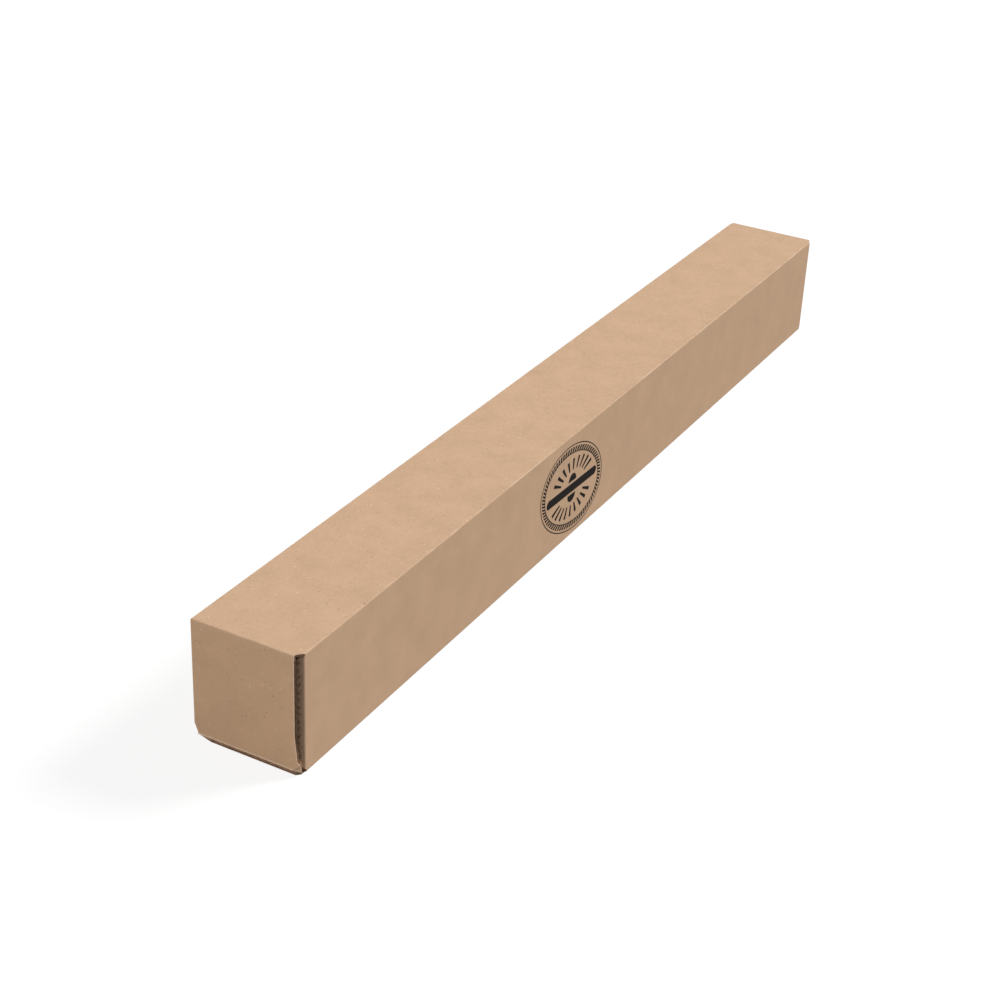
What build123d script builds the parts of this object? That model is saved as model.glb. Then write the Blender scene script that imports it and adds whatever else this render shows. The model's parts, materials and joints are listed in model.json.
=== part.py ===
from build123d import *
import math
import os

# A long straight tuck-end carton, die-cut from one sheet of single-wall corrugated board.
# The sheet is folded round four long creases, and a glue flap joins its two ends inside the
# lower left edge. At each end two dust flaps fold in from the side walls, then a closure flap
# comes down from the top panel, and its tuck flap slides in above the bottom panel.
# The flutes run round the girth, so they lie across the box in the top, bottom and closures.
# Units are millimetres. X is across the box, Y along it and Z up, from the middle of the base.

# Outside of the closed carton
box_length = 1000.0
box_width = 97.0
box_height = 105.0

# Single-wall board: two liners and a fluted medium
board = 3.0
liner = 0.4
medium = 0.25
flute_pitch = 6.4

# Creases
long_crease_radius = 1.6
end_crease_radius = 1.0
tuck_crease_radius = 1.0
dust_crease_radius = 3.4
crease_skin = 1.0
crush_run = 3.2

# Closure flaps and their tuck flaps
closure_narrower_by = 5.5
near_closure_shift = -2.15
far_closure_shift = -0.6
closure_corner_width = 3.0
closure_corner_height = 7.6
closure_corner_drop = 2.6
tuck_length = 20.0
tuck_tip_radius = 9.0
tuck_clearance = 0.35

# The near closure's lower right corner is crushed: it spreads sideways and has a slanting facet
crushed_spread = 4.6
crushed_lean = 1.0
crushed_top = 10.4
crushed_neck_spread = 2.2
crushed_neck = 12.4
crushed_start = 34.0
crushed_width = 8.4
crushed_height = 7.8
crushed_depth = 2.0

# Relief slots where the long creases meet the end creases: the full walls start at slot_depth,
# and the top panel is cut back on a slant, from slot_mouth beside the closure to slot_depth
slot_depth = 7.6
slot_mouth = 1.6
slot_radius = 3.0

# Dust flaps
dust_length = 39.0
dust_gap = 1.0
dust_head_clearance = 1.6
dust_head_width = 6.0
dust_foot_clearance = 0.4
dust_foot_width = 2.8
dust_top_clearance = 2.5
dust_bottom_clearance = 1.0
dust_top_taper = 4.0
dust_bottom_taper = 9.0
dust_tip_radius = 8.0

# Glue flap and seam
glue_flap_height = 30.0
glue_flap_start = 24.0
glue_flap_taper = 10.0
seam_step = 0.6
seam_gap = 0.3

# Free end edges of the bottom panel, which are pressed thinner than the board
bottom_setback = 0.3
bottom_pressed_by = 0.7
bottom_corner_length = 12.0
bottom_corner_depth = 3.0

# Printed seal on the right side wall: two oval rings, a band of ticks, a bar and two fans of rays
seal_half_length = 61.6
seal_half_height = 42.8
seal_from_near_end = 427.4
seal_above_base = 50.8
ring_tilt = -16.7
bar_tilt = -1.9
ink = 0.1
ring_line = 0.9
ring_gap = 2.0
tick_band = 4.8
tick_gap = 0.15
tick_count = 72
tick_share = 0.56
tick_slant = 0.5
bar_length = 96.0
bar_height = 8.6
ray_count = 9
ray_fan = 118.0
ray_start = 0.42
ray_end = 0.68
ray_width = 3.4
ray_foot_width = 1.8
sun_radius = 7.4
sun_gap = 2.4

# Sizes that follow from the ones above
half_width = box_width / 2
half_length = box_length / 2
closure_width = box_width - closure_narrower_by
channel = board - 2 * liner
lobe_height = channel - medium
lobe_base = (flute_pitch / 2 + channel - medium * math.sqrt(2)) / 2
lobe_tip_radius = (lobe_base - lobe_height) / (math.sqrt(2) - 1)
dust_face = board + dust_gap
bottom_edge = board - bottom_pressed_by
tuck_fold_height = bottom_edge + tuck_clearance
swing_radius = box_height - tuck_fold_height
tuck_tilt = math.degrees(math.asin(tuck_length / (2 * swing_radius)))
tuck_rise = math.sin(math.radians(tuck_tilt))
tuck_reach = math.cos(math.radians(tuck_tilt))
dust_inner_face = dust_face + board
tuck_top_at_dust = tuck_fold_height + (board + dust_inner_face * tuck_rise) / tuck_reach
dust_bottom = tuck_top_at_dust + dust_bottom_clearance
dust_top = box_height - board - dust_top_clearance
dust_head = box_height - dust_head_clearance
dust_foot = board + dust_foot_clearance
corner_bottom = tuck_fold_height + closure_corner_drop
corner_top = corner_bottom + closure_corner_height
wall_overlap = 4.0
tick_step = 2 * math.pi / tick_count
mitre_start = end_crease_radius * (1 - math.cos(math.radians(45)))

# Lower right corner of a closure, as steps out from its right edge: cut back, or crushed
cut_corner = [(-closure_corner_width, 0), (-closure_corner_width, corner_bottom), (0, corner_top)]
spread_corner = [
    (crushed_spread, 0),
    (crushed_spread - crushed_lean, crushed_top),
    (crushed_neck_spread, crushed_neck),
    (0, crushed_start),
]

# Planes: sections seen along X at the near end, fronts seen along Y, and the right side wall
near_end = -half_length
section_plane = Plane(origin=(0, near_end, 0), x_dir=(0, 1, 0), z_dir=(1, 0, 0))
front_plane = Plane(origin=(0, near_end, 0), x_dir=(1, 0, 0), z_dir=(0, -1, 0))
base_plane = Plane(origin=(0, near_end, 0), x_dir=(1, 0, 0), z_dir=(0, 0, 1))


def face_of(points, radii=None):
    """Flat face inside straight lines through the points, with the named corners rounded."""
    face = make_face(Polyline(*points, close=True))
    for corner, radius in (radii or {}).items():
        nearest = face.vertices().sort_by_distance(Vector(*points[corner]))[0]
        face = fillet(nearest, radius)
    return face


def flute_lobe(share):
    """Face of one channel: its base on one liner, its rounded tip just short of the other."""
    shoulder = lobe_tip_radius / math.sqrt(2)
    side = share * (lobe_height - lobe_tip_radius + shoulder)
    outline = Curve() + [
        Polyline((-shoulder, side), (-lobe_base, 0), (lobe_base, 0), (shoulder, side)),
        ThreePointArc((shoulder, side), (0, share * lobe_height), (-shoulder, side)),
    ]
    return make_face(outline)


def full_share(along):
    """Share of the board's thickness that is left where nothing presses on it."""
    return 1.0


def flute_run(first, last, share_at=full_share):
    """Channels of a panel along local X between first and last, across local Y from 0 to board."""
    count = int((last - first - 2 * lobe_base) / (flute_pitch / 2)) + 1
    run = []
    for index in range(count):
        along = first + lobe_base + index * flute_pitch / 2
        share = share_at(along)
        lobe = flute_lobe(share)
        if index % 2 == 0:
            run.append(Pos(along, liner * share) * lobe)
        else:
            run.append(Pos(along, (board - liner) * share) * Rot(0, 0, 180) * lobe)
    return run


def carton_outline():
    """Outside of the carton seen along Y: three long creases and, lower left, a cut edge."""
    corners = [
        (-half_width, 0),
        (half_width, 0),
        (half_width, box_height),
        (-half_width, box_height),
    ]
    radii = {corner: long_crease_radius for corner in (1, 2, 3)}
    return face_of(corners, radii)


def wall_section():
    """The four walls seen along Y, with the seam between the left wall and the bottom panel."""
    inside = half_width - board
    opening = Pos(0, (box_height - board) / 2) * Rectangle(2 * inside, box_height - board)
    seam = Pos(-half_width, 0) * Rectangle(2 * board, 2 * seam_step)
    bottom = face_of(
        [(-inside, 0), (half_width, 0), (half_width, board), (-inside, board)],
        {0: long_crease_radius, 1: long_crease_radius},
    )
    return carton_outline() - opening - seam + bottom


def carton_envelope():
    """Solid that holds the whole carton, with its long creases rounded."""
    return extrude(front_plane.offset(board) * carton_outline(), -box_length - 2 * board)


def top_panel_end(left, right):
    """End of the top panel: slots beside the closure, and a crushed, mitred crease."""
    inner = slot_depth + wall_overlap
    corner_radius = {
        1: min(slot_radius, left + half_width),
        4: min(slot_radius, half_width - right),
    }
    plan = face_of(
        [
            (-half_width, slot_depth),
            (left, slot_mouth),
            (left, 0),
            (right, 0),
            (right, slot_mouth),
            (half_width, slot_depth),
            (half_width, inner),
            (-half_width, inner),
        ],
        corner_radius,
    )
    section = make_face(
        Curve()
        + [
            Polyline(
                (end_crease_radius, box_height),
                (inner, box_height),
                (inner, box_height - board),
                (crease_skin + crush_run, box_height - board),
                (crease_skin, box_height - crease_skin),
                (mitre_start, box_height - mitre_start),
            ),
            RadiusArc(
                (mitre_start, box_height - mitre_start),
                (end_crease_radius, box_height),
                end_crease_radius,
            ),
        ]
    )
    sheet = extrude(base_plane * plan, box_height)
    across = extrude(section_plane * section, half_width, both=True)
    return sheet & across & carton_envelope()


def pressed_share(along):
    """Share of the board's thickness that is left at a distance from the bottom panel's end."""
    return 1 - bottom_pressed_by / board * max(0.0, 1 - along / slot_depth)


def bottom_panel_end():
    """End of the bottom panel: a pressed free edge, open between its liners, with cut corners."""
    left = seam_gap + board - half_width
    right = half_width - long_crease_radius
    plan = face_of(
        [
            (left, slot_depth),
            (left, bottom_setback + bottom_corner_depth),
            (left + bottom_corner_length, bottom_setback),
            (right - bottom_corner_depth, bottom_setback),
            (right, bottom_setback + bottom_corner_depth),
            (right, slot_depth),
        ]
    )
    section = face_of([(0, 0), (slot_depth, 0), (slot_depth, board), (0, bottom_edge)])
    section -= flute_run(bottom_setback - lobe_base, slot_depth + lobe_base, pressed_share)
    return extrude(base_plane * plan, board) & extrude(section_plane * section, half_width, both=True)


def dust_flap():
    """Dust flap folded in from the near end of the right wall, its flutes upright."""
    tip = half_width - dust_length
    inside = half_width - board
    leg = slot_depth + wall_overlap
    section = face_of(
        [
            (half_width, leg),
            (half_width, dust_face),
            (tip, dust_face),
            (tip, dust_inner_face),
            (inside, dust_inner_face),
            (inside, leg),
        ],
        {1: dust_crease_radius},
    )
    flutes = flute_run(board + liner, dust_length)
    section -= [Pos(half_width, dust_inner_face) * Rot(0, 0, 180) * lobe for lobe in flutes]
    front = face_of(
        [
            (half_width, dust_foot),
            (half_width, dust_head),
            (half_width - dust_head_width, dust_top),
            (tip, dust_top - dust_top_taper),
            (tip, dust_bottom + dust_bottom_taper),
            (half_width - dust_foot_width, dust_bottom),
        ],
        {3: dust_tip_radius, 4: dust_tip_radius},
    )
    return extrude(base_plane * section, box_height) & extrude(front_plane * front, -2 * leg)


def glue_flap():
    """Glue flap standing inside the left wall, its ends cut at a slant."""
    start = glue_flap_start
    end = box_length - glue_flap_start
    top = board + glue_flap_height
    side = face_of(
        [
            (start, long_crease_radius),
            (end, long_crease_radius),
            (end - glue_flap_taper, top),
            (start + glue_flap_taper, top),
        ]
    )
    return Pos(board - half_width, 0, 0) * extrude(section_plane * side, board)


def box_sleeve():
    """The four walls, the glue flap and the four dust flaps, folded from one sheet."""
    walls = extrude(
        front_plane.offset(-slot_depth) * wall_section(), 2 * slot_depth - box_length
    )
    seam_box = Pos(board - half_width, near_end, 0) * Box(
        seam_gap, glue_flap_start, board, align=(Align.MIN, Align.MIN, Align.MIN)
    )
    near_edges = closure_edges(near_closure_shift)
    far_edges = closure_edges(far_closure_shift)
    flap = dust_flap()
    near_flaps = [flap, mirror(flap, about=Plane.YZ)]
    sleeve = walls - seam_box - mirror(seam_box, about=Plane.XZ)
    sleeve += [bottom_panel_end(), mirror(bottom_panel_end(), about=Plane.XZ)]
    sleeve += [top_panel_end(*near_edges), mirror(top_panel_end(*far_edges), about=Plane.XZ)]
    sleeve += near_flaps + [mirror(shape, about=Plane.XZ) for shape in near_flaps]
    return sleeve + glue_flap()


def closure_edges(shift):
    """Left and right edges of a closure flap that sits off the middle by shift."""
    return shift - closure_width / 2, shift + closure_width / 2


def closure_section():
    """Closure panel and tuck flap seen along X, with the open channels of the flutes."""

    def on_tuck(along, across):
        return (
            along * tuck_reach - across * tuck_rise,
            tuck_fold_height + along * tuck_rise + across * tuck_reach,
        )

    inner_fold = on_tuck(board * (1 + tuck_rise) / tuck_reach, board)
    crush_end = box_height - crease_skin - crush_run
    outline = make_face(
        Curve()
        + [
            Polyline(
                (mitre_start, box_height - mitre_start),
                (crease_skin, box_height - crease_skin),
                (board, crush_end),
                inner_fold,
                on_tuck(tuck_length, board),
                on_tuck(tuck_length, 0),
                (0, tuck_fold_height),
                (0, box_height - end_crease_radius),
            ),
            RadiusArc(
                (0, box_height - end_crease_radius),
                (mitre_start, box_height - mitre_start),
                end_crease_radius,
            ),
        ]
    )
    fold = outline.vertices().sort_by_distance(Vector(0, tuck_fold_height))[0]
    outline = fillet(fold, tuck_crease_radius)
    panel = flute_run(box_height - crush_end, box_height - inner_fold[1] - liner)
    tuck = flute_run(board + liner, tuck_length - liner)
    outline -= [Pos(0, box_height) * Rot(0, 0, -90) * lobe for lobe in panel]
    outline -= [Pos(0, tuck_fold_height) * Rot(0, 0, tuck_tilt) * lobe for lobe in tuck]
    return outline


def closure_flap(shift, right_corner):
    """Closure flap at the near end, its tuck flap folded in, with one or the other right corner."""
    left, right = closure_edges(shift)
    tuck_left = left + closure_corner_width
    tuck_right = right - closure_corner_width
    front = face_of(
        [
            (left, box_height),
            (left, corner_top),
            (tuck_left, corner_bottom),
            (tuck_left, 0),
            *[(right + out, up) for out, up in right_corner],
            (right, box_height),
        ]
    )
    tuck_end = tuck_length * tuck_reach
    plan = face_of(
        [(tuck_left, 0), (tuck_right, 0), (tuck_right, tuck_end), (tuck_left, tuck_end)],
        {2: tuck_tip_radius, 3: tuck_tip_radius},
    )
    behind = face_of(
        [
            (-half_width, board),
            (half_width, board),
            (half_width, 2 * tuck_length),
            (-half_width, 2 * tuck_length),
        ]
    )
    flap = extrude(section_plane * closure_section(), half_width, both=True)
    flap &= extrude(front_plane * front, -2 * tuck_length)
    flap -= extrude(base_plane * (behind - plan), box_height - board)
    return flap & carton_envelope()


def crushed_corner(shift):
    """Wedge taken off the outer lower right corner of the near closure."""
    right = closure_edges(shift)[1] + crushed_spread
    low = tuck_fold_height
    on_fold = Vector(right - crushed_width, near_end, low)
    on_edge = Vector(right, near_end, low + crushed_height)
    behind = Vector(right, near_end + crushed_depth, low)
    corner = Vector(right, near_end, low)
    outward = (on_edge - on_fold).cross(behind - on_fold).normalized()
    if outward.dot(corner - on_fold) < 0:
        outward = outward * -1
    slope = Plane(origin=on_fold, z_dir=outward)
    size = 4 * crushed_width
    return slope * Box(size, size, size, align=(Align.CENTER, Align.CENTER, Align.MIN))


def on_oval(taken_in, angle):
    """Point at an angle on the seal's oval when that is taken in by a distance."""
    return (
        (seal_half_length - taken_in) * math.cos(angle),
        (seal_half_height - taken_in) * math.sin(angle),
    )


def oval_ring(taken_in):
    """Thin ring along an oval, printed as straight stretches that are one tick long."""
    angles = [index * tick_step for index in range(tick_count)]
    outside = face_of([on_oval(taken_in, angle) for angle in angles])
    return outside - face_of([on_oval(taken_in + ring_line, angle) for angle in angles])


def seal_ticks(start, end):
    """Slanting ticks between two ovals, those taken in by start and by end."""
    ticks = []
    for index in range(tick_count):
        outer = index * tick_step
        inner = outer + tick_slant * tick_step
        ticks.append(
            face_of(
                [
                    on_oval(start, outer),
                    on_oval(start, outer + tick_share * tick_step),
                    on_oval(end, inner + tick_share * tick_step),
                    on_oval(end, inner),
                ]
            )
        )
    return ticks


def seal_fan():
    """Half sun above the bar, and a fan of rays that widen outwards and follow the oval."""
    disc = Circle(sun_radius) & Rectangle(
        2 * sun_radius, sun_radius, align=(Align.CENTER, Align.MIN)
    )
    fan = [Pos(0, bar_height / 2 + sun_gap) * disc]
    for index in range(ray_count):
        angle = math.radians(90 + ray_fan * (index / (ray_count - 1) - 0.5))
        foot = Vector(seal_half_length * math.cos(angle), seal_half_height * math.sin(angle))
        across = Vector(-foot.Y, foot.X).normalized()
        ray = [
            foot * ray_start - across * ray_foot_width / 2,
            foot * ray_end - across * ray_width / 2,
            foot * ray_end + across * ray_width / 2,
            foot * ray_start + across * ray_foot_width / 2,
        ]
        fan.append(face_of([(corner.X, corner.Y) for corner in ray]))
    return fan


def seal_faces():
    """The seal's print, flat: two rings with a band of ticks, a bar and two fans of rays."""
    band_start = ring_line + ring_gap
    band_end = band_start + tick_band
    border = [oval_ring(0), oval_ring(band_end)] + seal_ticks(band_start, band_end - tick_gap)
    fan = seal_fan()
    inside = [SlotOverall(bar_length, bar_height)] + fan + [Rot(0, 0, 180) * face for face in fan]
    faces = [Rot(0, 0, ring_tilt) * face for face in border]
    return faces + [Rot(0, 0, bar_tilt) * face for face in inside]


def printed_seal():
    """The seal as a thin film of ink on the outside of the right side wall."""
    wall = Plane(
        origin=(half_width, near_end + seal_from_near_end, seal_above_base),
        x_dir=(0, 1, 0),
        z_dir=(1, 0, 0),
    )
    films = [extrude(wall * face, ink) for face in seal_faces()]
    return Compound(children=films)


def main():
    """Build each node and write it to its own file."""
    os.makedirs("parts", exist_ok=True)
    near_closure = closure_flap(near_closure_shift, spread_corner)
    nodes = {
        "box_sleeve": box_sleeve(),
        "near_closure_flap": near_closure - crushed_corner(near_closure_shift),
        "far_closure_flap": mirror(closure_flap(far_closure_shift, cut_corner), about=Plane.XZ),
        "printed_seal": printed_seal(),
    }
    for name, shape in nodes.items():
        export_step(shape, f"parts/{name}.step")


main()
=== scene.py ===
"""Looks of a long corrugated mailing carton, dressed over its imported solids."""

import json
import logging
import math
from dataclasses import dataclass, field
from enum import Enum

import bmesh
import bpy
from mathutils import Euler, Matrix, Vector


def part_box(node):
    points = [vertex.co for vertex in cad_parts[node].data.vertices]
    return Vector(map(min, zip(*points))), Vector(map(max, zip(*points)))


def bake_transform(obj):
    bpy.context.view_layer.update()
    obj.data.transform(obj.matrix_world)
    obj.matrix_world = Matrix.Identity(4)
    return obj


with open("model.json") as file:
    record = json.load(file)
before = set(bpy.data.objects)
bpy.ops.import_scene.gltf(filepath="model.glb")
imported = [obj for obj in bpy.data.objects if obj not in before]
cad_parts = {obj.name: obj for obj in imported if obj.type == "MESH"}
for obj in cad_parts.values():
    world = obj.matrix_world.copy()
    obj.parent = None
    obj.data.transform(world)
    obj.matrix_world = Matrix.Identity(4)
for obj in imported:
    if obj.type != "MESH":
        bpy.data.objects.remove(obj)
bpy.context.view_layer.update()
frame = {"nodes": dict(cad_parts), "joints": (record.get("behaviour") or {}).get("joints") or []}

MM = 0.001
HALF_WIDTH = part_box("box_sleeve")[1].x
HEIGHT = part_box("box_sleeve")[1].z
CREASES = {joint["name"]: Vector(joint["pos_m"]) for joint in frame["joints"]}
HALF_LENGTH = CREASES["far_closure_crease"].y
BOARD = 3.0 * MM
FLUTE_PITCH = 6.4 * MM
# Both closures are equally wide, but the near one's box takes in its crushed corner.
CLOSURE_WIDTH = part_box("far_closure_flap")[1].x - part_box("far_closure_flap")[0].x
# The dust flaps' outer faces stand this far back from the closures' outer faces.
FOLD_INSET = 4.0 * MM

Colour = tuple[float, float, float, float]

log = logging.getLogger("carton")


class FluteRun(Enum):
    """The axis across which a panel's flutes repeat."""

    ALONG_BOX = 1
    DOWN_PANEL = 2


class Part(Enum):
    """Which part of the folded sheet a board material is for."""

    SLEEVE = "sleeve"
    NEAR_CLOSURE = "near_closure"
    FAR_CLOSURE = "far_closure"


class NodeBench:
    """Small helper that places and joins shader nodes in one tree."""

    def __init__(self, tree: bpy.types.NodeTree) -> None:
        """Keep the tree that nodes are placed in.

        Args:
            tree: The material's or the group's node tree.
        """
        self.tree = tree
        self.column = 0

    def node(self, kind: str, **settings: object) -> bpy.types.Node:
        """Place a node.

        Args:
            kind: The node's type name.
            settings: Properties to set on it.

        Returns:
            The new node.
        """
        made = self.tree.nodes.new(kind)
        made.location = (self.column, 0)
        self.column += 180
        for name, value in settings.items():
            setattr(made, name, value)
        return made

    def feed(self, socket: bpy.types.NodeSocket, value: object) -> None:
        """Link a socket to an output, or set its value.

        Args:
            socket: The input to fill.
            value: An output socket, a number, a colour or a vector.
        """
        if isinstance(value, bpy.types.NodeSocket):
            self.tree.links.new(value, socket)
        else:
            socket.default_value = value

    def maths(self, operation: str, *values: object, clamp: bool = False) -> bpy.types.NodeSocket:
        """Place a Math node.

        Args:
            operation: The node's operation.
            values: Its inputs, numbers or outputs.
            clamp: Whether the result is held between 0 and 1.

        Returns:
            The result.
        """
        made = self.node("ShaderNodeMath", operation=operation, use_clamp=clamp)
        for socket, value in zip(made.inputs, values):
            self.feed(socket, value)
        return made.outputs[0]

    def chain(self, operation: str, *values: object) -> bpy.types.NodeSocket:
        """Join any number of values with one Math operation.

        Args:
            operation: The operation, such as MULTIPLY or MAXIMUM.
            values: The values.

        Returns:
            The result.
        """
        result = values[0]
        for value in values[1:]:
            result = self.maths(operation, result, value)
        return result

    def remap(self, value: object, low: float, high: float,
              to: tuple[float, float] = (0.0, 1.0), smooth: bool = True) -> bpy.types.NodeSocket:
        """Turn a value into a mask that goes from one level at low to another at high.

        Args:
            value: The value to read.
            low: Where the mask has its first level.
            high: Where the mask has its second level.
            to: The two levels.
            smooth: Whether the change is eased.

        Returns:
            The mask.
        """
        kind = "SMOOTHSTEP" if smooth else "LINEAR"
        made = self.node("ShaderNodeMapRange", interpolation_type=kind)
        self.feed(made.inputs["Value"], value)
        made.inputs["From Min"].default_value = low
        made.inputs["From Max"].default_value = high
        made.inputs["To Min"].default_value = to[0]
        made.inputs["To Max"].default_value = to[1]
        return made.outputs["Result"]

    def noise(self, vector: object, scale: float, detail: float = 2.0,
              rough: float = 0.5) -> bpy.types.NodeSocket:
        """Place a noise texture.

        Args:
            vector: Its coordinates.
            scale: Features per metre.
            detail: Octaves.
            rough: Share of each finer octave.

        Returns:
            The noise value.
        """
        made = self.node("ShaderNodeTexNoise")
        self.feed(made.inputs["Vector"], vector)
        made.inputs["Scale"].default_value = scale
        made.inputs["Detail"].default_value = detail
        made.inputs["Roughness"].default_value = rough
        return made.outputs["Fac"]

    def stretch(self, vector: object, scale: tuple[float, float, float],
                turn: tuple[float, float, float] = (0.0, 0.0, 0.0)) -> bpy.types.NodeSocket:
        """Stretch and turn coordinates.

        Args:
            vector: The coordinates.
            scale: Scale along each axis.
            turn: Turn about each axis, in radians.

        Returns:
            The new coordinates.
        """
        made = self.node("ShaderNodeMapping")
        self.feed(made.inputs["Vector"], vector)
        made.inputs["Scale"].default_value = scale
        made.inputs["Rotation"].default_value = turn
        return made.outputs["Vector"]

    def mix(self, share: object, first: object, second: object) -> bpy.types.NodeSocket:
        """Mix two colours.

        Args:
            share: Share of the second colour.
            first: First colour.
            second: Second colour.

        Returns:
            The mixed colour.
        """
        made = self.node("ShaderNodeMix", data_type="RGBA")
        self.feed(made.inputs[0], share)
        self.feed(made.inputs[6], first)
        self.feed(made.inputs[7], second)
        return made.outputs[2]

    def split(self, vector: object) -> tuple[bpy.types.NodeSocket, ...]:
        """Split a vector into its three parts.

        Args:
            vector: The vector.

        Returns:
            Its X, Y and Z.
        """
        made = self.node("ShaderNodeSeparateXYZ")
        self.feed(made.inputs[0], vector)
        return tuple(made.outputs)

    def near(self, value: object, level: float, slack: float) -> bpy.types.NodeSocket:
        """Tell where a value is close to a level.

        Args:
            value: The value to read.
            level: The level that it is compared with.
            slack: The largest difference that still counts.

        Returns:
            A mask of 1 where it is close.
        """
        return self.maths("COMPARE", value, level, slack)


class EffectGroup:
    """A shader node group with named inputs and outputs, built once."""

    name = ""
    inputs: dict[str, tuple[str, object]] = {}
    outputs: dict[str, str] = {}

    def wire(self, bench: NodeBench, given: dict, results: dict) -> None:
        """Build the inside of the group.

        Args:
            bench: Bench on the group's tree.
            given: The group's inputs by name.
            results: The group's output sockets by name.
        """
        raise NotImplementedError

    def tree(self) -> bpy.types.NodeTree:
        """Make the group, or find the one that is there.

        Returns:
            The group's tree.
        """
        found = bpy.data.node_groups.get(self.name)
        if found:
            return found
        tree = bpy.data.node_groups.new(self.name, "ShaderNodeTree")
        for name, (kind, value) in self.inputs.items():
            socket = tree.interface.new_socket(name, in_out="INPUT", socket_type=kind)
            if value is not None:
                socket.default_value = value
        for name, kind in self.outputs.items():
            tree.interface.new_socket(name, in_out="OUTPUT", socket_type=kind)
        bench = NodeBench(tree)
        start, end = bench.node("NodeGroupInput"), bench.node("NodeGroupOutput")
        given = {name: start.outputs[name] for name in self.inputs}
        self.wire(bench, given, {name: end.inputs[name] for name in self.outputs})
        return tree

    def place(self, bench: NodeBench, **values: object) -> bpy.types.Node:
        """Place the group in a material.

        Args:
            bench: Bench on the material's tree.
            values: Inputs by name, with _ for a space.

        Returns:
            The group node.
        """
        made = bench.node("ShaderNodeGroup")
        made.node_tree = self.tree()
        for name, value in values.items():
            bench.feed(made.inputs[name.replace("_", " ")], value)
        return made


class LinerPaper(EffectGroup):
    """Cloudy pulp, fine fibres, and light and dark specks of a smooth kraft liner."""

    name = "liner_paper"
    inputs = {"Vector": ("NodeSocketVector", None)}
    outputs = {
        "Cloud": "NodeSocketFloat",
        "Blotch": "NodeSocketFloat",
        "Grain": "NodeSocketFloat",
        "Fibre": "NodeSocketFloat",
        "Dark Specks": "NodeSocketFloat",
        "Light Specks": "NodeSocketFloat",
    }
    # Cells per metre, share of the cells with a speck, and its radius as a share of its cell.
    dark_sizes = ((85.0, 0.22, 0.075), (280.0, 0.2, 0.22))
    light_sizes = ((70.0, 0.2, 0.07), (260.0, 0.2, 0.22))

    def specks(self, bench: NodeBench, vector: object, scale: float, share: float,
               size: float) -> bpy.types.NodeSocket:
        """Scatter soft specks, each a little ragged.

        Args:
            bench: Bench on the group's tree.
            vector: Coordinates.
            scale: Cells per metre.
            share: Share of the cells that hold a speck.
            size: Speck's radius as a share of its cell.

        Returns:
            The speck mask.
        """
        cells = bench.node("ShaderNodeTexVoronoi")
        bench.feed(cells.inputs["Vector"], vector)
        cells.inputs["Scale"].default_value = scale
        chance, depth, _ = bench.split(cells.outputs["Color"])
        chosen = bench.maths("LESS_THAN", chance, share)
        ragged = bench.remap(
            bench.noise(vector, scale * 5.0, 2.0), 0.3, 0.7, to=(-0.5 * size, 0.5 * size)
        )
        distance = bench.maths("ADD", cells.outputs["Distance"], ragged)
        spot = bench.remap(distance, size, size * 0.4)
        strength = bench.remap(depth, 0.0, 1.0, to=(0.35, 1.0), smooth=False)
        return bench.chain("MULTIPLY", chosen, spot, strength)

    def wire(self, bench: NodeBench, given: dict, results: dict) -> None:
        """Build the clouds, the grain, the fibres and the specks.

        Args:
            bench: Bench on the group's tree.
            given: The group's inputs by name.
            results: The group's output sockets by name.
        """
        vector = given["Vector"]
        bench.feed(results["Cloud"], bench.noise(vector, 38.0, 3.0, 0.5))
        bench.feed(results["Blotch"], bench.noise(vector, 150.0, 3.0, 0.6))
        bench.feed(results["Grain"], bench.noise(vector, 520.0, 3.0, 0.7))
        runs = []
        for turn in (0.35, 1.25, 2.3):
            drawn = bench.stretch(vector, (1.0, 6.0, 3.5), (turn, turn * 1.7, turn * 0.6))
            runs.append(bench.noise(drawn, 420.0, 2.0, 0.5))
        bench.feed(results["Fibre"], bench.maths("DIVIDE", bench.chain("ADD", *runs), 3.0))
        turned = bench.stretch(vector, (1.0, 1.0, 1.0), (0.4, 0.9, 0.2))
        for name, sizes, places in (
            ("Dark Specks", self.dark_sizes, (vector, turned)),
            ("Light Specks", self.light_sizes, (turned, vector)),
        ):
            fields = [self.specks(bench, at, *size) for at, size in zip(places, sizes)]
            bench.feed(results[name], bench.chain("MAXIMUM", *fields))


class FluteBands(EffectGroup):
    """Faint rise and fall of the liner over the flutes under it."""

    name = "flute_bands"
    inputs = {"Along": ("NodeSocketFloat", 0.0), "Vector": ("NodeSocketVector", None)}
    outputs = {"Band": "NodeSocketFloat"}

    def wire(self, bench: NodeBench, given: dict, results: dict) -> None:
        """Build the waves, stronger in some places than in others.

        Args:
            bench: Bench on the group's tree.
            given: The group's inputs by name.
            results: The group's output sockets by name.
        """
        wave = bench.maths("SINE", bench.maths("MULTIPLY", given["Along"], 2 * math.pi / FLUTE_PITCH))
        patchy = bench.remap(bench.noise(given["Vector"], 14.0, 2.0), 0.35, 0.7)
        bench.feed(results["Band"], bench.maths("MULTIPLY", wave, patchy))


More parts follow.
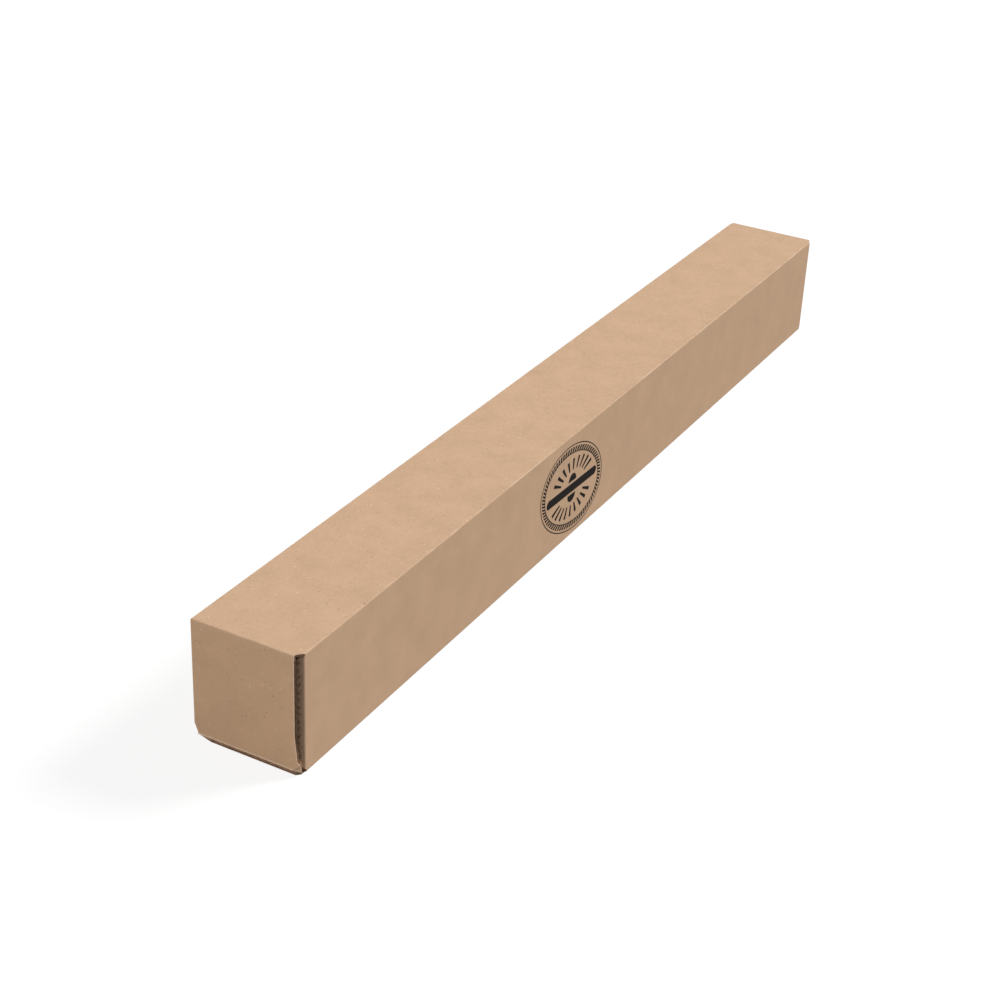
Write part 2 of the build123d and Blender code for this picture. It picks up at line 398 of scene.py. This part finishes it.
class CreaseRubAndHighlight(EffectGroup):
    """Rubbed paper in patches along the carton's long creases and end creases, partly worn paper and
    partly a painted highlight where the creases catch the light.
    """

    name = "crease_rub_and_highlight"
    inputs = {"Vector": ("NodeSocketVector", None), "Reach": ("NodeSocketFloat", 1.6 * MM)}
    outputs = {"Rub And Highlight": "NodeSocketFloat"}

    def wire(self, bench: NodeBench, given: dict, results: dict) -> None:
        """Measure how near two of the carton's outer planes a point is.

        Args:
            bench: Bench on the group's tree.
            given: The group's inputs by name.
            results: The group's output sockets by name.
        """
        x, y, z = bench.split(given["Vector"])
        middle = bench.maths("ABSOLUTE", bench.maths("SUBTRACT", z, HEIGHT / 2))
        insets = [
            bench.maths("SUBTRACT", HALF_WIDTH, bench.maths("ABSOLUTE", x)),
            bench.maths("SUBTRACT", HALF_LENGTH, bench.maths("ABSOLUTE", y)),
            bench.maths("SUBTRACT", HEIGHT / 2, middle),
        ]
        pairs = [
            bench.maths("MAXIMUM", insets[a], insets[b]) for a, b in ((0, 1), (1, 2), (0, 2))
        ]
        nearest = bench.chain("MINIMUM", *pairs)
        ragged = bench.noise(given["Vector"], 420.0, 3.0, 0.6)
        patches = bench.remap(bench.noise(given["Vector"], 34.0, 3.0, 0.6), 0.38, 0.66, to=(0.25, 1.0))
        reach = bench.chain("MULTIPLY", given["Reach"], bench.maths("ADD", ragged, 0.5), patches)
        share = bench.maths("DIVIDE", nearest, reach)
        bench.feed(results["Rub And Highlight"], bench.maths("MULTIPLY", bench.remap(share, 1.0, 0.2), patches))


class FluteEnds(EffectGroup):
    """Open ends of the flutes, drawn on a cut edge that the solids leave plain, as the mask for their
    painted shade.
    """

    name = "flute_ends"
    inputs = {"Along": ("NodeSocketFloat", 0.0), "Depth": ("NodeSocketFloat", 0.0)}
    outputs = {"Hollow": "NodeSocketFloat"}
    swing = 1.0 * MM
    half_medium = 0.16 * MM
    soft_medium = 0.3 * MM
    liner = 0.35 * MM
    soft_liner = 0.5 * MM

    def wire(self, bench: NodeBench, given: dict, results: dict) -> None:
        """Draw the waving medium and the two liners, and find the hollows between them.

        Args:
            bench: Bench on the group's tree.
            given: The group's inputs by name.
            results: The group's output sockets by name.
        """
        wave = bench.maths("SINE", bench.maths("MULTIPLY", given["Along"], 2 * math.pi / FLUTE_PITCH))
        line = bench.maths("MULTIPLY_ADD", wave, self.swing, BOARD / 2)
        from_line = bench.maths("ABSOLUTE", bench.maths("SUBTRACT", given["Depth"], line))
        off_medium = bench.remap(from_line, self.half_medium, self.soft_medium)
        from_middle = bench.maths("ABSOLUTE", bench.maths("SUBTRACT", given["Depth"], BOARD / 2))
        off_liner = bench.remap(from_middle, BOARD / 2 - self.liner, BOARD / 2 - self.soft_liner)
        bench.feed(results["Hollow"], bench.maths("MULTIPLY", off_medium, off_liner))


@dataclass(frozen=True)
class KraftBoard:
    """Brown kraft liner over fluted board, matt and nearly smooth, with darker cut edges."""

    part: Part
    flutes: FluteRun
    liner: Colour = (0.649, 0.431, 0.280, 1.0)
    deep: Colour = (0.545, 0.355, 0.226, 1.0)
    # Lighter colour of the creases and of the closures' edges: partly worn paper, partly a painted
    # highlight where the edges catch the light.
    rubbed_and_highlight: Colour = (0.78, 0.58, 0.415, 1.0)
    dark_speck: Colour = (0.30, 0.19, 0.12, 1.0)
    light_speck: Colour = (0.80, 0.64, 0.49, 1.0)
    raw_edge: Colour = (0.32, 0.195, 0.135, 1.0)
    raw_light: Colour = (0.47, 0.31, 0.215, 1.0)
    # Painted shade inside the open flute ends along the seam, which the solids leave plain.
    hollow_shade: Colour = (0.05, 0.032, 0.022, 1.0)
    # Painted shade for a dotted row of dents along each dust flap's fold.
    dent_shade: Colour = (0.11, 0.072, 0.05, 1.0)
    # Painted shade of the recess where the dust flaps fold off the walls beside the closures, in darker
    # and paler patches.
    fold_shade: Colour = (0.44, 0.28, 0.19, 1.0)
    fold_shade_pale: Colour = (0.645, 0.425, 0.285, 1.0)
    speck_share: float = 0.75
    fibre_share: float = 0.16
    # Share of painted light and shade over the liner's ripples above the flutes.
    ripple_shade_share: float = 0.05
    rub_highlight_share: float = 0.5
    fold_shade_share: float = 0.75
    dent_shade_share: float = 0.7
    side_calm: float = 0.42
    relief: float = 0.15 * MM
    relief_strength: float = 0.25
    flute_relief: float = 0.1
    roughness: tuple[float, float] = (0.72, 0.86)
    sheen_level: float = 0.22
    edge_line: float = 1.1 * MM
    fold_reach: float = 8.0 * MM
    dent_shade_row: float = 3.6 * MM
    tuck_tip_from: float = 17.5 * MM
    slack: float = 0.12 * MM
    # Heights between which the near closure's right edge spreads, and by how much, in mm.
    spread_steps: tuple[tuple[float, float, float], ...] = (
        (34.0, 12.4, 2.2),
        (12.4, 10.4, 1.4),
        (10.4, 0.0, 1.0),
    )

    def build(self) -> bpy.types.Material:
        """Make the material.

        Returns:
            The finished material.
        """
        material = bpy.data.materials.new(f"kraft_{self.part.value}")
        material.use_nodes = True
        tree = material.node_tree
        tree.nodes.clear()
        bench = NodeBench(tree)
        place = bench.node("ShaderNodeTexCoord")
        vector = place.outputs["Object"]
        paper = LinerPaper().place(bench, Vector=vector)
        along = bench.split(vector)[1 if self.flutes is FluteRun.ALONG_BOX else 2]
        band = FluteBands().place(bench, Along=along, Vector=vector).outputs["Band"]
        colour = self.liner_colour(bench, place, paper, band)
        colour = self.edge_colour(bench, place, paper, colour)
        bump = bench.node("ShaderNodeBump")
        bump.inputs["Strength"].default_value = self.relief_strength
        bump.inputs["Distance"].default_value = self.relief
        waves = bench.maths("MULTIPLY", band, self.flute_relief)
        bench.feed(bump.inputs["Height"], bench.maths("ADD", paper.outputs["Grain"], waves))
        shader = bench.node("ShaderNodeBsdfPrincipled")
        bench.feed(shader.inputs["Base Color"], colour)
        bench.feed(shader.inputs["Normal"], bump.outputs["Normal"])
        bench.feed(
            shader.inputs["Roughness"],
            bench.remap(paper.outputs["Cloud"], 0.3, 0.7, to=self.roughness, smooth=False),
        )
        shader.inputs["Specular IOR Level"].default_value = self.sheen_level
        out = bench.node("ShaderNodeOutputMaterial")
        bench.feed(out.inputs["Surface"], shader.outputs[0])
        return material

    def liner_colour(self, bench: NodeBench, place: bpy.types.Node, paper: bpy.types.Node,
                     band: object) -> bpy.types.NodeSocket:
        """Colour the liner: clouds, grain, specks, painted light and shade over the flute ripples, and
        creases lightened by wear and by a painted highlight.

        Args:
            bench: Bench on the material's tree.
            place: The material's coordinate node.
            paper: The placed paper group.
            band: Rise and fall over the flutes.

        Returns:
            The liner's colour.
        """
        cloud = bench.remap(paper.outputs["Cloud"], 0.2, 0.8, to=(-0.42, 0.42), smooth=False)
        blotch = bench.remap(paper.outputs["Blotch"], 0.2, 0.8, to=(-0.16, 0.16), smooth=False)
        grain = bench.remap(paper.outputs["Grain"], 0.25, 0.75, to=(-0.3, 0.3), smooth=False)
        sideways = bench.maths("ABSOLUTE", bench.split(place.outputs["Normal"])[0])
        coarse = bench.remap(sideways, 0.5, 0.9, to=(1.0, self.side_calm))
        fine = bench.maths("MULTIPLY", bench.maths("ADD", blotch, grain), coarse)
        # Painted light and shade of the liner's ripples over the flutes.
        waves = bench.maths("MULTIPLY", band, self.ripple_shade_share)
        share = bench.chain("ADD", 0.5, cloud, fine, waves)
        colour = bench.mix(share, self.deep, self.liner)
        fibre = bench.remap(paper.outputs["Fibre"], 0.56, 0.66, to=(0.0, self.fibre_share))
        colour = bench.mix(bench.maths("MULTIPLY", fibre, coarse), colour, self.light_speck)
        for specks, paint in (("Dark Specks", self.dark_speck), ("Light Specks", self.light_speck)):
            faint = bench.chain("MULTIPLY", paper.outputs[specks], self.speck_share, coarse)
            colour = bench.mix(faint, colour, paint)
        # Creases lightened in patches: worn paper and a painted highlight along the crease edges.
        rub_highlight = CreaseRubAndHighlight().place(bench, Vector=place.outputs["Object"]).outputs["Rub And Highlight"]
        return bench.mix(bench.maths("MULTIPLY", rub_highlight, self.rub_highlight_share), colour, self.rubbed_and_highlight)

    def edge_colour(self, bench: NodeBench, place: bpy.types.Node, paper: bpy.types.Node,
                    colour: object) -> bpy.types.NodeSocket:
        """Darken the cut edges, paint a highlight on the outer liner beside a closure's edge and tuck
        fold, and paint shade into the seam's flute ends and the dust flaps' folds.

        Args:
            bench: Bench on the material's tree.
            place: The material's coordinate node.
            paper: The placed paper group.
            colour: The liner's colour.

        Returns:
            The board's colour.
        """
        raw = bench.mix(
            bench.remap(paper.outputs["Grain"], 0.35, 0.65), self.raw_edge, self.raw_light
        )
        if self.part is Part.SLEEVE:
            # Painted shade of the open flute ends on the seam's cut edge.
            raw = bench.mix(self.seam_hollow_shade(bench, place), raw, self.hollow_shade)
            # Painted shade in the dust flaps' folds, in uneven patches.
            patchy_shade = bench.remap(bench.noise(place.outputs["Object"], 520.0, 3.0, 0.7), 0.36, 0.6)
            fold_shade = bench.mix(patchy_shade, self.fold_shade, self.fold_shade_pale)
            colour = bench.mix(self.fold_shade_mask(bench, place), colour, fold_shade)
            # Painted shade in a dotted row of dents along each dust flap's fold.
            colour = bench.mix(self.fold_dent_shade(bench, place), colour, self.dent_shade)
            return bench.mix(self.sleeve_cuts(bench, place), colour, raw)
        # Painted highlight along the closure's right edge and its tuck fold, in the lighter crease
        # colour.
        colour = bench.mix(self.lip_highlight(bench, place), colour, self.rubbed_and_highlight)
        return bench.mix(self.closure_cuts(bench, place), colour, raw)

    def closure_cuts(self, bench: NodeBench, place: bpy.types.Node) -> bpy.types.NodeSocket:
        """Find a closure's die-cut edges: its two sides and the tip of its tuck flap.

        Args:
            bench: Bench on the material's tree.
            place: The material's coordinate node.

        Returns:
            The mask of raw edge.
        """
        across, forward, _ = (
            bench.maths("ABSOLUTE", part) for part in bench.split(place.outputs["Normal"])
        )
        distance = bench.maths("ABSOLUTE", bench.split(place.outputs["Object"])[1])
        level = HALF_LENGTH - self.tuck_tip_from
        at_tip = bench.remap(distance, level, level - 0.5 * MM)
        tip = bench.maths("MULTIPLY", at_tip, bench.remap(forward, 0.6, 0.8))
        return bench.maths("MAXIMUM", bench.remap(across, 0.75, 0.9), tip)

    def lip_highlight(self, bench: NodeBench, place: bpy.types.Node) -> bpy.types.NodeSocket:
        """Find the painted highlight along the outer liner's right edge on a closure, and along its
        tuck fold.

        Args:
            bench: Bench on the material's tree.
            place: The material's coordinate node.

        Returns:
            The mask of the painted highlight.
        """
        node = "near_closure_flap" if self.part is Part.NEAR_CLOSURE else "far_closure_flap"
        x, _, z = bench.split(place.outputs["Object"])
        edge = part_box(node)[0].x + CLOSURE_WIDTH
        if self.part is Part.NEAR_CLOSURE:
            steps = [
                bench.remap(z, high * MM, low * MM, to=(0.0, spread * MM), smooth=False)
                for high, low, spread in self.spread_steps
            ]
            edge = bench.chain("ADD", edge, *steps)
        beside = bench.maths("SUBTRACT", edge, x)
        side = bench.remap(beside, self.edge_line, 0.2 * self.edge_line)
        fold = bench.remap(z, 5.6 * MM, 4.4 * MM)
        forward = bench.maths("ABSOLUTE", bench.split(place.outputs["Normal"])[1])
        outer = bench.remap(forward, 0.55, 0.7)
        ragged = bench.remap(bench.noise(place.outputs["Object"], 260.0, 2.0), 0.3, 0.6, to=(0.5, 1.0))
        return bench.chain("MULTIPLY", bench.maths("MAXIMUM", side, fold), outer, ragged)

    def fold_shade_mask(self, bench: NodeBench, place: bpy.types.Node) -> bpy.types.NodeSocket:
        """Find the painted shade, in uneven patches, on the dust flaps' faces where they fold off their
        walls, in the recess beside each closure.

        Args:
            bench: Bench on the material's tree.
            place: The material's coordinate node.

        Returns:
            The mask of the painted shade.
        """
        x, y, _ = bench.split(place.outputs["Object"])
        forward = bench.maths("ABSOLUTE", bench.split(place.outputs["Normal"])[1])
        inset = bench.maths("SUBTRACT", HALF_LENGTH, bench.maths("ABSOLUTE", y))
        out = bench.maths("ABSOLUTE", x)
        ragged = bench.remap(bench.noise(place.outputs["Object"], 300.0, 2.0), 0.3, 0.7, to=(-0.7, 0.7))
        reach = bench.maths("MULTIPLY_ADD", ragged, MM, out)
        in_fold = bench.chain(
            "MULTIPLY",
            bench.remap(reach, HALF_WIDTH - self.fold_reach, HALF_WIDTH - self.fold_reach + 2.0 * MM),
            bench.remap(forward, 0.5, 0.85),
            bench.remap(inset, FOLD_INSET + 1.2 * MM, FOLD_INSET + 0.6 * MM),
            bench.remap(inset, FOLD_INSET - 1.0 * MM, FOLD_INSET - 0.4 * MM),
        )
        return bench.maths("MULTIPLY", in_fold, self.fold_shade_share)

    def fold_dent_shade(self, bench: NodeBench, place: bpy.types.Node) -> bpy.types.NodeSocket:
        """Find the painted shade of a row of dents that the flutes leave along each dust flap's fold.

        Args:
            bench: Bench on the material's tree.
            place: The material's coordinate node.

        Returns:
            The mask of the painted shade in the dents.
        """
        x, y, z = bench.split(place.outputs["Object"])
        forward = bench.maths("ABSOLUTE", bench.split(place.outputs["Normal"])[1])
        inset = bench.maths("SUBTRACT", HALF_LENGTH, bench.maths("ABSOLUTE", y))
        row = bench.maths("SUBTRACT", bench.maths("ABSOLUTE", x), HALF_WIDTH - self.dent_shade_row)
        wander = bench.noise(place.outputs["Object"], 210.0, 2.0)
        row = bench.maths("MULTIPLY_ADD", bench.remap(wander, 0.3, 0.7, to=(-1.0, 1.0)), MM, row)
        beside = bench.remap(bench.maths("ABSOLUTE", row), 1.3 * MM, 0.1 * MM)
        turn = bench.maths("MULTIPLY", z, 2 * math.pi / FLUTE_PITCH)
        turn = bench.maths("ADD", turn, bench.remap(wander, 0.3, 0.7, to=(-1.5, 1.5)))
        wave = bench.maths("SINE", turn)
        return bench.chain(
            "MULTIPLY",
            beside,
            bench.remap(wave, -0.2, 1.0),
            bench.remap(forward, 0.5, 0.8),
            bench.remap(inset, FOLD_INSET + 1.2 * MM, FOLD_INSET + 0.6 * MM),
            self.dent_shade_share,
        )

    def sleeve_cuts(self, bench: NodeBench, place: bpy.types.Node) -> bpy.types.NodeSocket:
        """Find the sleeve's cut edges, which lie on none of the planes of its liners.

        Args:
            bench: Bench on the material's tree.
            place: The material's coordinate node.

        Returns:
            The mask of raw edge.
        """
        x, y, z = bench.split(place.outputs["Object"])
        nx, ny, nz = (
            bench.maths("ABSOLUTE", part) for part in bench.split(place.outputs["Normal"])
        )
        out = bench.maths("ABSOLUTE", x)
        far = bench.maths("ABSOLUTE", y)
        slack = self.slack
        across_liners = [
            bench.near(out, HALF_WIDTH, slack),
            bench.near(out, HALF_WIDTH - BOARD, slack),
            bench.near(out, HALF_WIDTH - 2 * BOARD, slack),
        ]
        level_liners = [bench.near(z, level, slack) for level in (0.0, BOARD, HEIGHT - BOARD, HEIGHT)]
        end_liners = [
            bench.near(far, HALF_LENGTH - inset, slack) for inset in (FOLD_INSET, FOLD_INSET + BOARD)
        ]
        cuts = []
        for facing, liners in ((nx, across_liners), (nz, level_liners), (ny, end_liners)):
            off_liners = bench.maths("SUBTRACT", 1.0, bench.chain("MAXIMUM", *liners))
            cuts.append(bench.maths("MULTIPLY", bench.remap(facing, 0.96, 0.985), off_liners))
        upright = bench.remap(nz, 0.3, 0.2)
        in_top_board = bench.maths(
            "MULTIPLY",
            bench.maths("GREATER_THAN", z, HEIGHT - BOARD + slack),
            bench.maths("LESS_THAN", out, HALF_WIDTH - slack),
        )
        notch = bench.chain("MULTIPLY", upright, in_top_board, bench.maths("GREATER_THAN", far, 0.49))
        return bench.chain("MAXIMUM", *cuts, notch)

    def seam_hollow_shade(self, bench: NodeBench, place: bpy.types.Node) -> bpy.types.NodeSocket:
        """Draw the painted shade of the flute ends on the left wall's lower cut edge, along the seam.

        Args:
            bench: Bench on the material's tree.
            place: The material's coordinate node.

        Returns:
            The mask of the flute ends' painted shade.
        """
        x, y, z = bench.split(place.outputs["Object"])
        depth = bench.maths("ADD", x, HALF_WIDTH)
        hollow_shade = FluteEnds().place(bench, Along=y, Depth=depth).outputs["Hollow"]
        low = bench.maths("LESS_THAN", z, 1.2 * MM)
        at_seam = bench.maths("LESS_THAN", depth, BOARD + 0.1 * MM)
        return bench.chain("MULTIPLY", hollow_shade, low, at_seam)


@dataclass(frozen=True)
class StampInk:
    """Near-black water-based ink, laid slightly unevenly on the liner."""

    name: str
    ink: Colour = (0.013, 0.011, 0.011, 1.0)
    thin: Colour = (0.036, 0.028, 0.024, 1.0)

    def build(self) -> bpy.types.Material:
        """Make the material.

        Returns:
            The finished material.
        """
        material = bpy.data.materials.new(self.name)
        material.use_nodes = True
        tree = material.node_tree
        tree.nodes.clear()
        bench = NodeBench(tree)
        vector = bench.node("ShaderNodeTexCoord").outputs["Object"]
        paper = LinerPaper().place(bench, Vector=vector)
        worn = bench.remap(paper.outputs["Fibre"], 0.5, 0.68)
        shader = bench.node("ShaderNodeBsdfPrincipled")
        bench.feed(shader.inputs["Base Color"], bench.mix(worn, self.ink, self.thin))
        shader.inputs["Roughness"].default_value = 0.85
        shader.inputs["Specular IOR Level"].default_value = 0.06
        out = bench.node("ShaderNodeOutputMaterial")
        bench.feed(out.inputs["Surface"], shader.outputs[0])
        return material


@dataclass
class CreaseWeb:
    """Web of crushed board, curved round a closure's crease, which fills it when the closure is shut.
    """

    name: str
    crease: Vector
    edges: tuple[float, float]
    bodies: tuple[str, str]
    finish: bpy.types.Material
    radius: float = 1.0 * MM
    outer_depth: float = 0.04 * MM
    inner_depth: float = 0.92 * MM
    reach: float = 2.4 * MM
    side_inset: float = 0.15 * MM
    arc_steps: int = 28
    run_steps: int = 6

    def path(self, depth: float) -> list[tuple[float, float]]:
        """Trace the board at a depth under its outer face, from the top panel to the closure.

        Args:
            depth: Depth under the outer face.

        Returns:
            Steps inward from the closure's face and down from the top panel's.
        """
        bend = self.radius - depth
        points = []
        for step in range(self.run_steps):
            share = 1.0 - step / self.run_steps
            points.append((self.radius + share * self.reach, depth))
        for step in range(self.arc_steps + 1):
            turn = math.radians(90.0 * step / self.arc_steps)
            points.append((self.radius - bend * math.sin(turn), self.radius - bend * math.cos(turn)))
        for step in range(1, self.run_steps + 1):
            share = step / self.run_steps
            points.append((depth, self.radius + share * self.reach))
        return points

    def build(self) -> bpy.types.Object:
        """Make the web, curved round the crease between the carton and the closure.

        Returns:
            The web.
        """
        inward = -math.copysign(1.0, self.crease.y)
        outline = self.path(self.outer_depth) + self.path(self.inner_depth)[::-1]
        shape = bmesh.new()
        rings = []
        for x in (self.edges[0] + self.side_inset, self.edges[1] - self.side_inset):
            ring = [
                shape.verts.new((x, self.crease.y + inward * back, self.crease.z - down))
                for back, down in outline
            ]
            rings.append(ring)
        half = len(outline) // 2
        for index in range(len(outline)):
            after = (index + 1) % len(outline)
            shape.faces.new((rings[0][index], rings[0][after], rings[1][after], rings[1][index]))
        for ring in rings:
            for index in range(half - 1):
                other = len(outline) - 1 - index
                shape.faces.new((ring[index], ring[index + 1], ring[other - 1], ring[other]))
        bmesh.ops.recalc_face_normals(shape, faces=shape.faces)
        mesh = bpy.data.meshes.new(self.name)
        shape.to_mesh(mesh)
        shape.free()
        mesh.materials.append(self.finish)
        web = bpy.data.objects.new(self.name, mesh)
        bpy.context.scene.collection.objects.link(web)
        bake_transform(web)
        log.info("bent %s across its crease", self.name)
        return web


@dataclass
class Carton:
    """The folded carton: the sleeve and its two closures, dressed in kraft board."""

    sleeve: KraftBoard = field(default_factory=lambda: KraftBoard(Part.SLEEVE, FluteRun.ALONG_BOX))
    near: KraftBoard = field(
        default_factory=lambda: KraftBoard(Part.NEAR_CLOSURE, FluteRun.DOWN_PANEL)
    )
    far: KraftBoard = field(
        default_factory=lambda: KraftBoard(Part.FAR_CLOSURE, FluteRun.DOWN_PANEL)
    )
    ink: StampInk = field(default_factory=lambda: StampInk("stamp_ink"))

    def dress(self) -> dict[str, bpy.types.Material]:
        """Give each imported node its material.

        Returns:
            The materials by node.
        """
        finishes = {
            "box_sleeve": self.sleeve.build(),
            "near_closure_flap": self.near.build(),
            "far_closure_flap": self.far.build(),
            "printed_seal": self.ink.build(),
        }
        for node, finish in finishes.items():
            piece = frame["nodes"][node]
            piece.data.materials.clear()
            piece.data.materials.append(finish)
            log.info("dressed %s in %s", node, finish.name)
        return finishes

    def build(self) -> None:
        """Dress the nodes and fit the web of board in each closure's crease."""
        finishes = self.dress()
        for end in ("near", "far"):
            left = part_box(f"{end}_closure_flap")[0].x
            CreaseWeb(
                name=f"{end}_crease_web",
                crease=CREASES[f"{end}_closure_crease"],
                edges=(left, left + CLOSURE_WIDTH),
                bodies=("carton", f"{end}_closure"),
                finish=finishes["box_sleeve"],
            ).build()


@dataclass(frozen=True)
class SoftLight:
    """A far, wide light that reaches every part of the scene alike."""

    name: str
    direction: tuple[float, float, float]
    level: float
    spread_deg: float
    tint: tuple[float, float, float] = (1.0, 1.0, 1.0)

    def build(self) -> None:
        """Hang the light, its level being what it gives a surface that faces it."""
        data = bpy.data.lights.new(self.name, "SUN")
        data.energy = self.level * math.pi
        data.color = self.tint
        data.angle = math.radians(self.spread_deg)
        lamp = bpy.data.objects.new(self.name, data)
        bpy.context.scene.collection.objects.link(lamp)
        lamp.rotation_euler = Vector(self.direction).to_track_quat("Z", "Y").to_euler()


@dataclass
class Studio:
    """White sweep, soft lights and the camera at the photograph's angle."""

    lens: float = 69.785
    camera_place: tuple[float, float, float] = (0.7107, -1.4527, 0.8709)
    camera_turn: tuple[float, float, float] = (61.299, -2.383, 29.32)
    sky: float = 0.08
    floor_size: float = 40.0
    floor_grey: float = 0.3
    floor_glow: float = 0.86
    floor_shade: float = 0.18
    lights: tuple[SoftLight, ...] = (
        SoftLight("window_light", (0.45, 0.68, 0.58), 1.2, 20.0, (1.0, 1.0, 0.98)),
        SoftLight("fill_light", (-0.77, -0.61, 0.18), 0.75, 25.0, (1.0, 0.95, 0.88)),
        SoftLight("top_light", (0.0, 0.0, 1.0), 0.11, 60.0, (0.9, 1.0, 1.1)),
    )

    def seen(self, bench: NodeBench) -> bpy.types.NodeSocket:
        """Find the rays that see the background: camera, mirror and clear rays.

        Args:
            bench: Bench on a tree.

        Returns:
            A mask of 1 for those rays.
        """
        path = bench.node("ShaderNodeLightPath")
        rays = [path.outputs[f"Is {kind} Ray"] for kind in ("Camera", "Glossy", "Transmission")]
        return bench.chain("MAXIMUM", *rays)

    def floor(self) -> None:
        """Lay the pale floor, which the camera sees as white apart from the shadow."""
        mesh = bpy.data.meshes.new("floor")
        shape = bmesh.new()
        bmesh.ops.create_grid(shape, x_segments=1, y_segments=1, size=self.floor_size / 2)
        shape.to_mesh(mesh)
        shape.free()
        floor = bpy.data.objects.new("floor", mesh)
        bpy.context.scene.collection.objects.link(floor)
        material = bpy.data.materials.new("pale_floor")
        material.use_nodes = True
        tree = material.node_tree
        tree.nodes.clear()
        bench = NodeBench(tree)
        plain = bench.node("ShaderNodeBsdfDiffuse")
        plain.inputs["Color"].default_value = (self.floor_grey,) * 3 + (1.0,)
        shaded = bench.node("ShaderNodeBsdfDiffuse")
        shaded.inputs["Color"].default_value = (self.floor_shade,) * 3 + (1.0,)
        glow = bench.node("ShaderNodeEmission")
        glow.inputs["Strength"].default_value = self.floor_glow
        both = bench.node("ShaderNodeAddShader")
        bench.feed(both.inputs[0], shaded.outputs[0])
        bench.feed(both.inputs[1], glow.outputs[0])
        choice = bench.node("ShaderNodeMixShader")
        bench.feed(choice.inputs[0], self.seen(bench))
        bench.feed(choice.inputs[1], plain.outputs[0])
        bench.feed(choice.inputs[2], both.outputs[0])
        out = bench.node("ShaderNodeOutputMaterial")
        bench.feed(out.inputs["Surface"], choice.outputs[0])
        mesh.materials.append(material)

    def world(self) -> None:
        """Light the scene from a soft white sky, which the camera sees as white."""
        world = bpy.data.worlds.new("studio")
        world.use_nodes = True
        bpy.context.scene.world = world
        tree = world.node_tree
        tree.nodes.clear()
        bench = NodeBench(tree)
        background = bench.node("ShaderNodeBackground")
        strength = bench.maths("MULTIPLY_ADD", self.seen(bench), 1.0 - self.sky, self.sky)
        bench.feed(background.inputs["Strength"], strength)
        background.inputs["Color"].default_value = (1.0, 1.0, 1.0, 1.0)
        out = bench.node("ShaderNodeOutputWorld")
        bench.feed(out.inputs["Surface"], background.outputs[0])

    def camera(self) -> None:
        """Stand the camera where the photograph was taken from."""
        data = bpy.data.cameras.new("camera")
        data.lens = self.lens
        data.sensor_width = 36.0
        data.clip_start = 0.01
        data.clip_end = 100.0
        camera = bpy.data.objects.new("camera", data)
        camera.location = self.camera_place
        camera.rotation_euler = Euler([math.radians(turn) for turn in self.camera_turn], "XYZ")
        bpy.context.scene.collection.objects.link(camera)
        bpy.context.scene.camera = camera

    def build(self) -> None:
        """Set up the floor, the lights and the camera."""
        bpy.context.scene.view_settings.view_transform = "Standard"
        self.floor()
        self.world()
        for light in self.lights:
            light.build()
        self.camera()
        log.info("studio is ready")


def main() -> None:
    """Dress the carton and set up the studio."""
    logging.basicConfig(level=logging.INFO, format="%(name)s: %(message)s")
    Carton().build()
    Studio().build()


if __name__ == "__main__":
    main()
